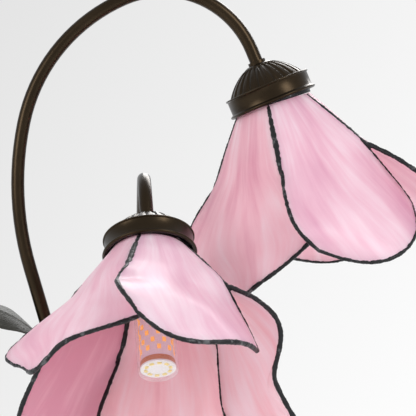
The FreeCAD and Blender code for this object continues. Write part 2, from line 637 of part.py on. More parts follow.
def shade_parts(name, holder, sag, first_turn, bends, rims):
    frame = holder.sagged(*sag)
    plate_at = HOLDER_FLANGE_AT + HOLDER_FLANGE + RUN
    plate = holder.at(ring(PLATE_R - RING_WALL / 2, PLATE_HOLE_R, plate_at, PLATE))
    neck = frame.at(ring(PLATE_R, PLATE_R - RING_WALL, RING_BACK, RING_FRONT - RING_BACK))
    save(name + "_shade_collar", plate.fuse(neck))
    edge = LEAD_WIDTH / (2 * math.radians(HALF_PETAL) * OUTER_EDGE[0][1])
    lead_edge = edge * (1 - LEAD_GAP / LEAD_WIDTH)
    petals = [Petal(frame, first_turn + 360.0 * i / PETALS, bends[i], rims[i]) for i in range(PETALS)]
    lead = []
    for index, petal in enumerate(petals):
        glass = petal.patch(edge, 1 - edge, PETAL_FROM, LEAD_WIDTH, ALONG, ACROSS)
        save("%s_petal_%d" % (name, index + 1), thickened(glass, GLASS))
        for side_from, side_to in ((0, lead_edge), (1 - lead_edge, 1)):
            lead.append(thickened(petal.patch(side_from, side_to, SEAM_END + RUN, 0, ALONG, 3), LEAD))
        lead.append(thickened(petal.rim(edge, 1 - edge, LEAD_WIDTH - RIM_GAP, 3, 2 * ACROSS), LEAD))
        lead.append(thickened(seam_strip(petal, petals[index - 1], edge), LEAD))
    save(name + "_leading", *lead)


# ---- leaves ----
def leaf(foot, axis, outward):
    """A folded bronze leaf on a clip round the stem; axis is the stem's direction there."""
    clip = Part.makeCylinder(CLIP_R, CLIP, foot - axis * (CLIP / 2), axis)
    sideways = axis.cross(outward).normalize()
    bend_r = LEAF_LENGTH / math.radians(LEAF_DROOP)
    rise = math.radians(LEAF_RISE)
    level = V(outward.x, outward.y, 0).normalize()
    spine = []
    rows, columns = 11, 7
    start = foot + level * (CLIP_R - LEAF_SEAT)
    for i in range(rows):
        share = i / (rows - 1)
        angle = math.radians(LEAF_DROOP) * share
        out = bend_r * (math.sin(rise) - math.sin(rise - angle))
        up = bend_r * (math.cos(rise - angle) - math.cos(rise))
        half = LEAF_FOOT + (LEAF_WIDTH / 2 - LEAF_FOOT) * math.sin(math.pi * share ** LEAF_TAPER)
        if share > LEAF_TAPER:
            half = max(half - LEAF_FOOT * (share - LEAF_TAPER) / (1 - LEAF_TAPER), LEAF_TIP)
        along = level * math.cos(rise - angle) + V(0, 0, 1) * math.sin(rise - angle)
        normal = sideways.cross(along)
        row = []
        for j in range(columns):
            across = 2.0 * j / (columns - 1) - 1
            lift = LEAF_FOLD * across * across * math.sin(math.pi * share)
            spot = start + level * out + V(0, 0, up) + sideways * (half * across) + normal * lift
            row.append((spot, normal))
        spine.append(row)
    blade = thickened(spine, LEAF_THICK)
    return clip.fuse(blade).cut(Part.makeCylinder(TUBE_R + FIT, 4 * CLIP, foot - axis * (2 * CLIP), axis))


def leaf_place(side, run_up, lean_radius, lean, run, share):
    """Foot, stem direction and outward side of a leaf on a gooseneck's straight run."""
    root = V(side.x * -STEM_OFFSET, side.y * -STEM_OFFSET, SOCKET_FLOOR)
    steps = [("line", run_up), ("arc", lean_radius, -lean), ("line", run * share)]
    _, foot, axis = walk(root, V(0, 0, 1), side, steps)
    return foot, axis, side * -1


# ---- the whole lamp ----
def build():
    tall_side = V(1, 0, 0)
    low_side = V(math.sin(math.radians(LOW_AZIMUTH)), -math.cos(math.radians(LOW_AZIMUTH)), 0)
    base_parts((tall_side, low_side))
    lights = (
        ("upper", "tall", 0.0, TALL_RUN_UP, TALL_LEAN_R, TALL_LEAN, TALL_RUN, TALL_ARCS, TALL_LAST, 0.0,
         UPPER_SAG, UPPER_TURN, UPPER_BENDS, UPPER_RIMS, TALL_LEAF_AT),
        ("lower", "low", LOW_AZIMUTH - 90.0, LOW_RUN_UP, LOW_LEAN_R, LOW_LEAN, LOW_RUN, LOW_ARCS, LOW_LAST,
         LOW_TWIST, LOWER_SAG, LOWER_TURN, LOWER_BENDS, LOWER_RIMS, LOW_LEAF_AT),
    )
    for (name, arm, azimuth, run_up, lean_r, lean, run, arcs, last, twist,
         sag, turn, bends, rims, leaf_at) in lights:
        tube, wire, end, heading, side = gooseneck(azimuth, run_up, lean_r, lean, run, arcs, last, twist)
        save(arm + "_arm_tube", tube)
        save(arm + "_arm_wire", wire)
        holder = holder_frame(end, heading, side)
        holder_parts(name, holder)
        lamp_parts(name, holder)
        shade_parts(name, holder, sag, turn, bends, rims)
        save(arm + "_arm_leaf", leaf(*leaf_place(side, run_up, lean_r, lean, run, leaf_at)))


os.makedirs("parts", exist_ok=True)
build()
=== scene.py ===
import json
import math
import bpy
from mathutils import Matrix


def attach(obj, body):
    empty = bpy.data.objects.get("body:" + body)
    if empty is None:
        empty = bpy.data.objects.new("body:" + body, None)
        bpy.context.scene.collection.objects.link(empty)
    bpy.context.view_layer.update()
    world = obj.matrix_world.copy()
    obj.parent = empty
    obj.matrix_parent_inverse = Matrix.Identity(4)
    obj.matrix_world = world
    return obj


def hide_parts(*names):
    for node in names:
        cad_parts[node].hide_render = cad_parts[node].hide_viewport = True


bl_info = {
    "name": "Lily Table Lamp",
    "version": (1, 0, 0),
    "blender": (4, 5, 0),
    "location": "3D View > Sidebar > Lily Lamp",
    "description": "Dresses a two-light lily lamp: bent glass petals, soldered edges, bronze arms, LED lamps",
    "category": "Object",
}

import bpy
from bpy.props import FloatProperty, FloatVectorProperty, IntProperty, PointerProperty
from mathutils import Vector, noise

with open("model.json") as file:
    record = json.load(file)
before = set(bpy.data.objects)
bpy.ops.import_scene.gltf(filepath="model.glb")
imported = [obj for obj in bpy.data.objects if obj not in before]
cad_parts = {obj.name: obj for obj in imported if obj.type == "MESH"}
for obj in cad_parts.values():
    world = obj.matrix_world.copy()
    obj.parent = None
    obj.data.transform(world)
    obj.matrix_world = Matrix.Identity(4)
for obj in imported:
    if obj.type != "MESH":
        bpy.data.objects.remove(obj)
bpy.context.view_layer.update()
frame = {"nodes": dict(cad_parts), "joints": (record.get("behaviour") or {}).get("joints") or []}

MM = 0.001
LIGHTS = ("upper", "lower")

# ---- the shade's form, the same as the part's own, in millimetres and degrees ----
PETALS = 5
GLASS = 2.4
NECK_AT = 1.2              # where the glass starts, from the holder's mouth
SEAM_END = 52.0            # neighbours are soldered together up to here
LEAD_WIDTH = 1.8           # lead outside the glass edge
SEAM = ((0.0, 26.8), (25.0, 46.0), (45.0, 60.0))
OUTER_EDGE = ((70.0, 88.0, -37.0), (95.0, 104.0, -34.0), (120.0, 98.0, -26.0), (140.0, 90.0, -20.0))
INNER_EDGE = ((70.0, 69.0, 42.0), (95.0, 77.0, 46.0), (120.0, 84.0, 42.0), (140.0, 89.0, 38.0))
MIDDLE = ((0.0, 26.8), (25.0, 42.0), (45.0, 53.0), (70.0, 67.0), (95.0, 83.0), (120.0, 98.0),
          (140.0, 106.0))
HALF_PETAL = 36.0
REACH_OUTER = 108.0
REACH_INNER = 104.0
REACH_TIP = 29.0
TIP_SKEW = 0.68
EDGE = LEAD_WIDTH / (2 * math.radians(HALF_PETAL) * OUTER_EDGE[0][1])   # lead's share of the width
FIRST_TURN = 25.0
SAG = {"upper": (-5.0, -1.0), "lower": (-2.6, 3.5)}
# hand-bent places: across, distance, half width across, half length along
CORNER = (0.0, 112.0, 0.16, 16.0)
VALLEY = (0.3, 118.0, 0.2, 18.0)
HOOK = (0.0, 72.0, 0.16, 12.0)
# for each petal: place, millimetres outwards, degrees round
BENDS = {
    "upper": (((HOOK, -5.0, 0.0),), ((VALLEY, -6.0, 0.0),), ((VALLEY, -4.0, 2.0),), ((HOOK, -2.0, 0.0),),
              ((VALLEY, -5.0, 6.0),)),
    "lower": (((CORNER, 11.0, -1.0), (VALLEY, -10.0, 0.0), (HOOK, -8.0, -2.0)),
              ((CORNER, -11.0, 8.0), (VALLEY, -17.0, -3.0)), ((VALLEY, -3.0, 0.0),), ((HOOK, -2.0, 0.0),),
              ((CORNER, -5.0, 5.0), (VALLEY, -8.0, 5.0))),
}
# for each petal: millimetres that its outer corner and its tip are longer
RIMS = {
    "upper": ((0.0, 0.0), (0.0, 0.0), (0.0, 0.0), (0.0, 0.0), (0.0, -5.0)),
    "lower": ((6.0, -2.0), (-8.0, 6.0), (0.0, 0.0), (0.0, 0.0), (-5.0, -8.0)),
}
RIM_CORNER = 0.15
RIM_TIP = 0.25

# ---- solder ----
EDGE_LAP = 3.0             # edge beads start this far inside the seam
SIDE_STEPS = 30
RIM_STEPS = 60
RIM_CROWDING = 1.25        # over 1 crowds the steps towards the outer corner
SEAM_STEPS = 29
SEAM_OVER = 2.0            # seam beads run this far past the split
RIPPLE = 0.22              # fine unevenness in millimetres

# ---- the shade holder's form, in millimetres back from its mouth ----
BAND_R = 32.3
BAND_WALL = 1.0
BAND = 14.5
LIP_R = 34.3
UPPER_LIP_R = 33.3
UPPER_LIP_ROUND = 0.75
LIP_ROUND = 1.0
SHELF_R = 27.0             # inner edge of the band's flat back
DOME_R = 29.5
DOME = 17.5
DOME_BULGE = 2.2
DOME_TOP_R = 8.0
DOME_BORE_R = 4.1
DOME_WALL = 1.0
FLUTE_R = 1.9              # radius of the round groove
FLUTE_DEPTH = 1.0
FLUTE_END = 0.9            # share of the way up the dome

# ---- ring and circle of chips on a lamp's end ----
END_RING_R = 12.45
END_RING_INNER_R = 11.7
END_RING_FROM = 87.4       # from the holder's mouth
END_RING_TO = 91.7
END_CHIP_AT = 93.15        # middle of a chip, from the holder's mouth
END_CHIP = 0.7             # its thickness
END_CHIPS = 10

# ---- leaves: foot on the stem's axis in millimetres, the stem's lean and the way that the leaf points ----
LEAVES = {
    "tall": ((-68.6, 0.0, 275.6), (-0.284, 0.0, 0.959), (-1.0, 0.0, 0.0)),
    "low": ((-0.9, 26.7, 200.4), (-0.004, 0.122, 0.993), (-0.035, 0.999, 0.0)),
}
LEAF_LENGTH = 118.0
LEAF_HALF = 18.5
LEAF_FOLD = 5.0
LEAF_RISE = 52.0           # degrees that a leaf rises where it leaves the stem
LEAF_DROOP = 84.0          # degrees that it bends down to its tip
LEAF_FOOT = 3.2
LEAF_ROLL = 24.0           # degrees that it turns its upper face to the viewer
CLIP_R = 6.8
CLIP = 12.0
STEM_R = 5.0

# tone (0 pale, 1 deep) and warmth (0 lilac, 1 salmon) of each petal's glass, first petal first
TINTS = {
    "upper": ((0.44, 0.22), (0.52, 0.40), (0.46, 0.50), (0.42, 0.55), (0.40, 0.52)),
    "lower": ((0.36, 0.05), (0.12, 0.70), (0.36, 0.75), (1.05, 0.60), (0.34, 0.30)),
}


# ---- stage ----
FLOOR_SIZE = 4.4
WORLD_LIGHT = 0.78
WORLD_SEEN = 0.88          # brightness of the background in the middle of the picture
WORLD_SLOPE = (0.8, 0.0, -0.5)

# ---- settings that a user changes ----
class LampSizes(bpy.types.PropertyGroup):
    bead: FloatProperty(name="Edge bead", description="Half the width of the solder on a free edge",
                        default=1.55 * MM, unit="LENGTH")
    bead_depth: FloatProperty(name="Bead depth", description="Half the thickness of the solder",
                              default=1.75 * MM, unit="LENGTH")
    seam: FloatProperty(name="Seam bead", description="Half the width of the solder between petals",
                        default=2.5 * MM, unit="LENGTH")
    lumps: FloatProperty(name="Lumps", description="How uneven the solder is, as a share of its width",
                         default=0.22, subtype="FACTOR")
    flutes: IntProperty(name="Flutes", description="Flutes of a shade holder's dome", default=24)
    voxel: FloatProperty(name="Solder detail", description="Size of the solder's mesh",
                         default=0.55 * MM, unit="LENGTH")


def tint(name, description, default):
    return FloatVectorProperty(name=name, description=description, default=default, subtype="COLOR",
                               size=3, min=0.0, max=1.0)


class LampColours(bpy.types.PropertyGroup):
    bronze: tint("Bronze", "Satin bronze of arms, holders and base", (0.030, 0.0200, 0.0108))
    leaf: tint("Leaf", "Green-grey bronze of the leaves", (0.030, 0.030, 0.024))
    solder: tint("Solder", "Black solder of the shades", (0.012, 0.012, 0.013))
    pale: tint("Pale glass", "Whitish streaks of the glass", (0.93, 0.84, 0.90))
    lilac: tint("Lilac glass", "Body colour of the cool glass", (0.81, 0.55, 0.67))
    mauve: tint("Mauve glass", "Deep streaks of the cool glass", (0.62, 0.29, 0.46))
    salmon: tint("Salmon glass", "Body colour of the warm glass", (0.90, 0.52, 0.54))
    rose: tint("Rose glass", "Deep streaks of the warm glass", (0.66, 0.17, 0.25))


# ---- places ----
class Place:
    """A point with three square directions; z runs along a shade holder to its mouth."""

    def __init__(self, origin, x, y, z):
        self.origin, self.x, self.y, self.z = origin, x, y, z

    def point(self, x, y, z):
        return self.origin + self.x * x + self.y * y + self.z * z

    def turned(self, radius, angle, z):
        return self.point(radius * math.sin(angle), radius * math.cos(angle), z)

    def sagged(self, sideways, forward):
        z = self.z + self.x * math.tan(math.radians(sideways)) + self.y * math.tan(math.radians(forward))
        z.normalize()
        y = (self.y - z * self.y.dot(z)).normalized()
        return Place(self.origin, y.cross(z), y, z)


def holder_place(light):
    """The mouth of a shade holder, from the joint that its shade turns on."""
    joint = next(j for j in frame["joints"] if j["name"] == light + "_shade_turn")
    z = Vector(joint["axis"]).normalized()
    front = Vector((0, -1, 0))
    y = (front - z * front.dot(z)).normalized()
    return Place(Vector(joint["pos_m"]), y.cross(z), y, z)


HOLDERS = {light: holder_place(light) for light in LIGHTS}
SHADES = {light: HOLDERS[light].sagged(*SAG[light]) for light in LIGHTS}


# ---- petal surface ----
def smooth(points, x):
    """The smooth curve through (x, value) points, straight past the last one."""
    xs = [p[0] for p in points]
    ys = [p[1] for p in points]
    steps = [b - a for a, b in zip(xs, xs[1:])]
    rises = [(d - c) / h for c, d, h in zip(ys, ys[1:], steps)]
    slopes = [rises[0]]
    for before, after, h0, h1 in zip(rises, rises[1:], steps, steps[1:]):
        slopes.append((before * h1 + after * h0) / (h0 + h1))
    slopes.append(rises[-1])
    if x >= xs[-1]:
        return ys[-1] + (x - xs[-1]) * slopes[-1]
    i = max(k for k in range(len(steps)) if k == 0 or xs[k] <= x)
    t = (x - xs[i]) / steps[i]
    return ((2 * t**3 - 3 * t**2 + 1) * ys[i] + (t**3 - 2 * t**2 + t) * steps[i] * slopes[i]
            + (3 * t**2 - 2 * t**3) * ys[i + 1] + (t**3 - t**2) * steps[i] * slopes[i + 1])


def rails(distance):
    """Radius of the outer edge, middle and inner edge, and the two edges' angles, at a distance."""
    return (smooth(list(SEAM) + [p[:2] for p in OUTER_EDGE], distance),
            smooth(MIDDLE, distance),
            smooth(list(SEAM) + [p[:2] for p in INNER_EDGE], distance),
            smooth([(z, -HALF_PETAL) for z, _ in SEAM] + [(z, a) for z, _, a in OUTER_EDGE], distance),
            smooth([(z, HALF_PETAL) for z, _ in SEAM] + [(z, a) for z, _, a in INNER_EDGE], distance))


def hump(across, distance, place):
    """A smooth hump of height 1 about a hand-bent place of a petal."""
    place_across, place_distance, width, length = place
    return math.exp(-((across - place_across) / width) ** 2 - ((distance - place_distance) / length) ** 2)


class Petal:
    """The middle of one petal's glass: across is 0 at its outer edge and 1 at its inner edge."""

    def __init__(self, light, index):
        self.shade = SHADES[light]
        self.turn = FIRST_TURN + 360.0 * index / PETALS
        self.bends = BENDS[light][index]
        self.rims = RIMS[light][index]

    def point(self, across, distance):
        outer, middle, inner, outer_turn, inner_turn = rails(distance)
        radius = (outer * (1 - across) * (1 - 2 * across) + middle * 4 * across * (1 - across)
                  + inner * across * (2 * across - 1))
        turn = self.turn + outer_turn * (1 - across) + inner_turn * across
        for place, outwards, round_by in self.bends:
            radius += outwards * hump(across, distance, place)
            turn += round_by * hump(across, distance, place)
        return self.shade.turned(radius * MM, math.radians(turn), distance * MM)

    def spot(self, across, distance):
        """A point of the glass, its directions along the axis and across the petal, and its normal."""
        point = self.point(across, distance)
        along = (self.point(across, distance + 1) - point).normalized()
        beside = (self.point(across + 0.01, distance) - point).normalized()
        return point, along, beside, along.cross(beside).normalized()

    def reach(self, across):
        """Length of the glass along the axis on the line across."""
        corner, tip = self.rims
        return (REACH_OUTER * (1 - across) + REACH_INNER * across
                + REACH_TIP * math.sin(math.pi * across ** TIP_SKEW)
                + corner * math.exp(-(across / RIM_CORNER) ** 2)
                + tip * math.exp(-((across - 0.5) / RIM_TIP) ** 2) - LEAD_WIDTH)


# ---- modelling helpers ----
def alone(piece):
    bpy.ops.object.select_all(action="DESELECT")
    piece.select_set(True)
    bpy.context.view_layer.objects.active = piece


def mapped_grid(name, columns, rows, place):
    """A grid whose vertices go to place(u, v), with u and v from 0 to 1; its UVs stay u and v."""
    bpy.ops.object.select_all(action="DESELECT")
    bpy.ops.mesh.primitive_grid_add(x_subdivisions=columns, y_subdivisions=rows, size=1.0, calc_uvs=True)
    piece = bpy.context.object
    piece.name = name
    piece.data.name = name
    for vertex in piece.data.vertices:
        vertex.co = place(min(max(vertex.co.x + 0.5, 0.0), 1.0), min(max(vertex.co.y + 0.5, 0.0), 1.0))
    return piece


def edited(piece, *steps):
    """Runs edit-mode steps on the whole mesh."""
    alone(piece)
    bpy.ops.object.mode_set(mode="EDIT")
    bpy.ops.mesh.select_all(action="SELECT")
    for step in steps:
        step()
    bpy.ops.object.mode_set(mode="OBJECT")
    return piece


def welded(piece, distance=0.02 * MM):
    return edited(piece, lambda: bpy.ops.mesh.remove_doubles(threshold=distance),
                  lambda: bpy.ops.mesh.normals_make_consistent(inside=False))


def modified(piece, kind, **settings):
    """Adds a modifier, sets it and applies it."""
    alone(piece)
    modifier = piece.modifiers.new(kind.title(), kind)
    for key, value in settings.items():
        setattr(modifier, key, value)
    bpy.ops.object.modifier_apply(modifier=modifier.name)
    return piece


def joined(name, pieces):
    alone(pieces[0])
    for piece in pieces[1:]:
        piece.select_set(True)
    bpy.ops.object.join()
    pieces[0].name = name
    pieces[0].data.name = name
    return pieces[0]


def smoothed(piece, degrees=180.0):
    alone(piece)
    bpy.ops.object.shade_smooth_by_angle(angle=math.radians(degrees))
    return piece


def turned(name, place, profile, segments, closed=True):
    """A shape turned about a place's z from (radius, height) corners in millimetres."""
    bpy.ops.object.select_all(action="DESELECT")
    radius, height = profile[0]
    bpy.ops.mesh.primitive_circle_add(vertices=segments, radius=radius * MM, location=(0, 0, 0))
    piece = bpy.context.object
    piece.name = name
    piece.data.name = name
    bpy.ops.object.mode_set(mode="EDIT")
    bpy.ops.mesh.select_all(action="SELECT")
    bpy.ops.transform.translate(value=(0, 0, height * MM))
    corners = list(profile[1:]) + ([profile[0]] if closed else [])
    for next_radius, next_height in corners:
        bpy.ops.mesh.extrude_region_move(
            TRANSFORM_OT_translate={"value": (0, 0, (next_height - height) * MM)})
        bpy.ops.transform.resize(value=(next_radius / radius, next_radius / radius, 1))
        radius, height = next_radius, next_height
    bpy.ops.object.mode_set(mode="OBJECT")
    for vertex in piece.data.vertices:
        vertex.co = place.point(*vertex.co)
    return welded(piece)


def dressed(piece, finishes, body, slot, *nodes):
    """Gives a piece its finishes and body and hides the nodes that it stands for; the slot argument is not
    used.
    """
    piece.data.materials.clear()
    for finish in finishes:
        piece.data.materials.append(finish)
    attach(piece, body)
    if nodes:
        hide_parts(*nodes)
    return piece


# ---- shader maths ----
class Value:
    """A socket in a shader's maths; expressions on it add Math nodes."""

    def __init__(self, finish, socket):
        self.finish, self.socket = finish, socket

    def worked(self, operation, left, right):
        return self.finish.add("Math", {"operation": operation}, {0: left, 1: right})

    def __add__(self, other):
        return self.worked("ADD", self, other)

    __radd__ = __add__

    def __sub__(self, other):
        return self.worked("SUBTRACT", self, other)

    def __rsub__(self, other):
        return self.worked("SUBTRACT", other, self)

    def __mul__(self, other):
        return self.worked("MULTIPLY", self, other)

    __rmul__ = __mul__

    def __pow__(self, other):
        return self.worked("POWER", self, other)


class Finish:
    """A material under way: one method adds any node, and short ones add the usual ones."""

    def __init__(self, name):
        self.material = bpy.data.materials.new(name)
        self.material.use_nodes = True
        self.tree = self.material.node_tree
        self.tree.nodes.clear()

    def add(self, kind, settings=None, sockets=None, out=0):
        node = self.tree.nodes.new("ShaderNode" + kind)
        for key, value in (settings or {}).items():
            if key == "stops":
                self.stops(node.color_ramp.elements, value)
            else:
                setattr(node, key, value)
        for key, value in (sockets or {}).items():
            if isinstance(value, Value):
                self.tree.links.new(value.socket, node.inputs[key])
            elif isinstance(value, (tuple, list)) and len(value) == 3 and node.inputs[key].type == "RGBA":
                node.inputs[key].default_value = (*value, 1.0)
            else:
                node.inputs[key].default_value = value
        return Value(self, node.outputs[out])

    @staticmethod
    def stops(elements, stops):
        for _ in range(len(stops) - len(elements)):
            elements.new(1.0)
        for element, (position, colour) in zip(elements, stops):
            element.position = position
            element.color = (*colour, 1.0)

    def place(self):
        return self.add("TexCoord", out=3)

    def stretched(self, vector, *scale):
        return self.add("Mapping", None, {"Vector": vector, "Scale": scale})

    def noise(self, vector, scale, detail=2.0, roughness=0.5, distortion=0.0):
        return self.add("TexNoise", None, {"Vector": vector, "Scale": scale, "Detail": detail,
                                           "Roughness": roughness, "Distortion": distortion})

    def mix(self, share, first, second):
        return self.add("Mix", {"data_type": "RGBA"}, {0: share, 6: first, 7: second}, out=2)

    def between(self, value, low, high):
        """0 below low, 1 above high and smooth in between."""
        return self.add("MapRange", {"interpolation_type": "SMOOTHSTEP"},
                        {"Value": value, "From Min": low, "From Max": high})

    def bump(self, height, distance, strength=1.0):
        return self.add("Bump", None, {"Height": height, "Distance": distance, "Strength": strength})

    def principled(self, **sockets):
        return self.add("BsdfPrincipled", None, {key.replace("_", " "): v for key, v in sockets.items()})

    def done(self, shader):
        output = self.tree.nodes.new("ShaderNodeOutputMaterial")
        self.tree.links.new(shader.socket, output.inputs["Surface"])
        return self.material


def colours():
    return bpy.context.scene.lamp_colours


def sizes():
    return bpy.context.scene.lamp_sizes


def shade_of(colour, factor):
    return tuple(min(channel * factor, 1.0) for channel in colour)


# ---- finishes ----
def metal(name, colour, metallic, roughness, cloud, grain, wear):
    """A satin coated or plain metal with cloudy tone, fine grain and rubbed spots."""
    f = Finish(name)
    where = f.place()
    clouds = f.noise(where, cloud, 4.0, 0.6)
    fine = f.noise(where, grain, 3.0, 0.6)
    rubbed = f.between(clouds + fine * 0.35, 0.66, 0.92) * wear
    body = f.mix(clouds, shade_of(colour, 0.72), shade_of(colour, 1.3))
    tone = f.mix(rubbed, body, shade_of(colour, 2.3))
    shader = f.principled(Base_Color=tone, Metallic=metallic,
                          Roughness=roughness - 0.06 + fine * 0.12,
                          Normal=f.bump(fine, 0.02 * MM, 0.5))
    return f.done(shader)


def leaf():
    """Dull green-grey bronze with fine veins along the blade's UV map."""
    f = Finish("leaf_bronze")
    uv = f.add("TexCoord", out=2)
    veins = f.noise(f.stretched(uv, 34.0, 1.6, 1.0), 1.0, 3.0, 0.6)
    clouds = f.noise(f.place(), 60.0, 3.0)
    colour = tuple(colours().leaf)
    tone = f.mix(veins * 0.7 + clouds * 0.3, shade_of(colour, 0.5), shade_of(colour, 2.0))
    return f.done(f.principled(Base_Color=tone, Metallic=0.3, Roughness=0.50 + clouds * 0.1,
                               Specular_IOR_Level=0.3, Normal=f.bump(veins, 0.6 * MM, 0.7)))


def solder():
    f = Finish("solder")
    where = f.place()
    patches = f.noise(where, 160.0, 3.0, 0.6)
    fine = f.noise(where, 900.0, 2.0, 0.5)
    # lighter, shinier grey patches: partly bare solder showing through the black patina, partly painted
    # glints
    bare_spots_and_glints = f.between(patches, 0.56, 0.70)
    dark = tuple(colours().solder)
    tone = f.mix(bare_spots_and_glints * 0.5, dark, (0.19, 0.19, 0.195))
    shader = f.principled(Base_Color=tone, Metallic=0.55, Roughness=0.42 - bare_spots_and_glints * 0.12,
                          Normal=f.bump(patches * 0.6 + fine * 0.4, 0.25 * MM, 0.6))
    return f.done(shader)


def glass(name, painted_bounce_warmth, painted_bounce_tone):
    """Streaky opal glass; the streaks run along a petal's UV map and glow with light from behind. The two
    extra numbers make the copy for the inside faces warmer and paler: painted light, bounced about inside the
    shade.
    """
    f = Finish(name)
    uv = f.add("TexCoord", out=2)
    tone = f.add("Attribute", {"attribute_name": "tone"}, out=2)
    warmth = f.add("Attribute", {"attribute_name": "warmth"}, out=2)
    flow = f.noise(f.stretched(uv, 2.2, 1.3, 1.0), 1.0, 2.0)
    bent = f.add("VectorMath", {"operation": "ADD"},
                 {0: uv, 1: f.add("CombineXYZ", None, {"X": flow * 0.22, "Y": flow * 0.1})})
    clouds = f.noise(f.stretched(bent, 2.4, 1.5, 1.0), 1.0, 3.0)
    streaks = f.noise(f.stretched(bent, 11.0, 1.7, 1.0), 1.0, 4.0, 0.55)
    wisps = f.noise(f.stretched(bent, 34.0, 3.2, 1.0), 1.0, 3.0, 0.6)
    # the inside copy's extra tone makes it paler and its extra warmth more salmon: painted light bounced
    # inside the shade
    depth = tone + painted_bounce_tone + (clouds - 0.5) * 1.3 + (streaks - 0.5) * 1.25 + (wisps - 0.5) * 0.35
    palette = colours()
    cool = f.add("ValToRGB", {"stops": ((0.0, palette.pale), (0.45, palette.lilac), (1.0, palette.mauve))},
                 {"Fac": depth})
    pale_warm = tuple(0.5 * a + 0.5 * b for a, b in zip(palette.pale, (0.90, 0.66, 0.66)))
    warm = f.add("ValToRGB", {"stops": ((0.0, pale_warm), (0.45, palette.salmon), (1.0, palette.rose))},
                 {"Fac": depth})
    body = f.mix(f.between(warmth + painted_bounce_warmth, 0.0, 1.0), cool, warm)
    shader = f.principled(Base_Color=body, Roughness=0.36, Coat_Weight=0.06, Coat_Roughness=0.12,
                          Specular_IOR_Level=0.4, Normal=f.bump(clouds, 0.6 * MM, 0.35))
    glow = f.add("BsdfTranslucent", None, {"Color": (0.98, 0.76, 0.80)})
    return f.done(f.add("MixShader", None, {0: 0.42, 1: shader, 2: glow}))


def plain(name, colour, roughness, variation=0.12, metallic=0.0, scale=120.0, **more):
    """A moulded or painted finish with a little cloudiness and a fine skin."""
    f = Finish(name)
    where = f.place()
    clouds = f.noise(where, scale, 3.0)
    fine = f.noise(where, scale * 9, 2.0)
    tone = f.mix(clouds, shade_of(colour, 1 - variation), shade_of(colour, 1 + variation))
    return f.done(f.principled(Base_Color=tone, Roughness=roughness - 0.03 + fine * 0.06,
                               Metallic=metallic, Normal=f.bump(fine, 0.03 * MM, 0.4), **more))


def clear_cover():
    f = Finish("clear_cover")
    # the cover turns opaque and whitish where it faces away towards its outline: a painted reflection at its
    # edges
    facing = f.add("LayerWeight", None, {"Blend": 0.35}, out=1)
    scuffs = f.noise(f.place(), 400.0, 2.0)
    shader = f.principled(Base_Color=(0.96, 0.90, 0.92), Roughness=0.05 + scuffs * 0.06,
                          Alpha=0.06 + facing ** 3.0 * 0.6, Specular_IOR_Level=0.6)
    return f.done(shader)


def led_chip():
    f = Finish("led_chip")
    spots = f.noise(f.place(), 500.0, 2.0)
    tone = f.mix(spots, (0.90, 0.34, 0.03), (0.98, 0.55, 0.09))
    return f.done(f.principled(Base_Color=tone, Roughness=0.35, Coat_Weight=0.4,
                               Emission_Color=tone, Emission_Strength=0.35))


def felt():
    f = Finish("felt")
    where = f.place()
    fibres = f.noise(f.stretched(where, 1.0, 1.0, 4.0), 1400.0, 3.0, 0.7)
    clumps = f.noise(where, 90.0, 2.0)
    tone = f.mix(fibres * 0.6 + clumps * 0.4, (0.014, 0.034, 0.022), (0.035, 0.075, 0.05))
    return f.done(f.principled(Base_Color=tone, Roughness=0.95, Sheen_Weight=0.4,
                               Normal=f.bump(fibres, 0.2 * MM, 0.8)))


def all_finishes():
    c = colours()
    return {
        "bronze": metal("bronze", tuple(c.bronze), 0.92, 0.30, 35.0, 700.0, 0.10),
        "leaf_bronze": leaf(),
        "solder": solder(),
        "petal_glass": glass("petal_glass", 0.0, 0.0),
        # the inside faces: a warmer, paler copy of the same glass, painted light bounced about inside the
        # shade
        "petal_glass_inside_painted_bounce": glass("petal_glass_inside_painted_bounce", 0.50, -0.16),
        "clear_cover": clear_cover(),
        "led_board": plain("led_board", (0.80, 0.66, 0.72), 0.38, 0.06),
        "led_chip": led_chip(),
        "lamp_cap_metal": metal("lamp_cap_metal", (0.55, 0.54, 0.52), 1.0, 0.30, 80.0, 900.0, 0.1),
        "white_plastic": plain("white_plastic", (0.80, 0.80, 0.77), 0.35, 0.04),
        "black_plastic": plain("black_plastic", (0.018, 0.018, 0.018), 0.38, 0.25),
        "brass": metal("brass", (0.48, 0.31, 0.10), 1.0, 0.32, 60.0, 900.0, 0.15),
        "zinc_steel": metal("zinc_steel", (0.42, 0.42, 0.41), 1.0, 0.36, 120.0, 900.0, 0.2),
        "iron": metal("iron", (0.02, 0.02, 0.02), 0.3, 0.62, 90.0, 350.0, 0.3),
        "felt": felt(),
        "rubber": plain("rubber", (0.016, 0.016, 0.016), 0.62, 0.2),
        "wire_sleeve": plain("wire_sleeve", (0.55, 0.42, 0.12), 0.45, 0.08),
        "end_ring": plain("end_ring", (0.52, 0.17, 0.045), 0.30, 0.15),
        "end_disc": plain("end_disc", (0.86, 0.84, 0.83), 0.35, 0.04),
        "end_chip": plain("end_chip", (0.92, 0.72, 0.22), 0.30, 0.10),
    }


